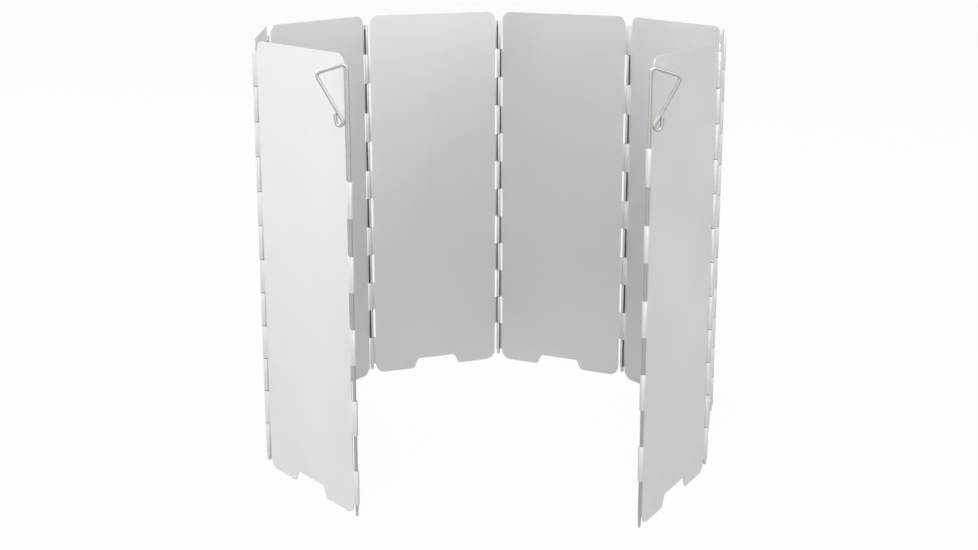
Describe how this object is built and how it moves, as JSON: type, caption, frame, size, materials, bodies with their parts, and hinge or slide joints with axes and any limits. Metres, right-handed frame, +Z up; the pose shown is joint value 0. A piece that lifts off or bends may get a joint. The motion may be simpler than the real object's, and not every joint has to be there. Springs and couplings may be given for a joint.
{
  "type": "stove windscreen",
  "caption": "Free-standing camp stove windscreen: hinged aluminium sheet panels that stand in an open arc and fold like a concertina, with a wire ground stake in each free edge.",
  "frame": {"origin": "centre of the footprint, on the ground that the panels stand on", "axes": "+Z up along the hinges, -Y towards the opening of the arc, +X to the right seen from the opening"},
  "size_m": [0.2452, 0.267, 0.216],
  "materials": {
    "panel_sheet": "satin anodised sheet",
    "pin_wire": "drawn wire",
    "stake_wire": "bright drawn wire"
  },
  "bodies": {
    "panel_1": {"panel_1": "panel_sheet", "hinge_pin_1": "pin_wire"},
    "panel_2": {"panel_2": "panel_sheet", "hinge_pin_2": "pin_wire"},
    "panel_3": {"panel_3": "panel_sheet", "hinge_pin_3": "pin_wire"},
    "panel_4": {"panel_4": "panel_sheet", "hinge_pin_4": "pin_wire"},
    "panel_5": {"panel_5": "panel_sheet", "hinge_pin_5": "pin_wire"},
    "panel_6": {"panel_6": "panel_sheet", "hinge_pin_6": "pin_wire"},
    "panel_7": {"panel_7": "panel_sheet", "hinge_pin_7": "pin_wire"},
    "panel_8": {"panel_8": "panel_sheet"},
    "left_stake": {"left_stake": "stake_wire"},
    "right_stake": {"right_stake": "stake_wire"}
  },
  "joints": [
    {"name": "hinge_4_fold", "type": "hinge", "parent": "panel_4", "child": "panel_5", "pos_m": [-0.00062, 0.13215, 0.108], "axis": [0, 0, 1], "range_deg": [0, 219]},
    {"name": "hinge_3", "type": "hinge", "parent": "panel_4", "child": "panel_3", "pos_m": [-0.07675, 0.09665, 0.108], "axis": [0, 0, 1], "range_deg": [0, 136]},
    {"name": "hinge_2", "type": "hinge", "parent": "panel_3", "child": "panel_2", "pos_m": [-0.12126, 0.02542, 0.108], "axis": [0, 0, -1], "range_deg": [0, 207]},
    {"name": "hinge_1", "type": "hinge", "parent": "panel_2", "child": "panel_1", "pos_m": [-0.11248, -0.05812, 0.108], "axis": [0, 0, 1], "range_deg": [-193, 136]},
    {"name": "hinge_5", "type": "hinge", "parent": "panel_5", "child": "panel_6", "pos_m": [0.07551, 0.09665, 0.108], "axis": [0, 0, -1], "range_deg": [0, 137]},
    {"name": "hinge_6", "type": "hinge", "parent": "panel_6", "child": "panel_7", "pos_m": [0.12126, 0.0262, 0.108], "axis": [0, 0, 1], "range_deg": [0, 210]},
    {"name": "hinge_7", "type": "hinge", "parent": "panel_7", "child": "panel_8", "pos_m": [0.10957, -0.05698, 0.108], "axis": [0, 0, -1], "range_deg": [-178.5, 150.5]},
    {"name": "left_stake_slide", "type": "slide", "parent": "panel_1", "child": "left_stake", "axis": [0, 0, 1], "range_m": [-0.049, 0.01]},
    {"name": "right_stake_slide", "type": "slide", "parent": "panel_8", "child": "right_stake", "axis": [0, 0, 1], "range_m": [-0.032, 0.01]}
  ],
  "couplings": [
    {"joint": "hinge_3", "follows": "hinge_4_fold", "ratio": 0.621},
    {"joint": "hinge_2", "follows": "hinge_4_fold", "ratio": 0.9452},
    {"joint": "hinge_5", "follows": "hinge_4_fold", "ratio": 0.62557},
    {"joint": "hinge_6", "follows": "hinge_4_fold", "ratio": 0.9589}
  ]
}
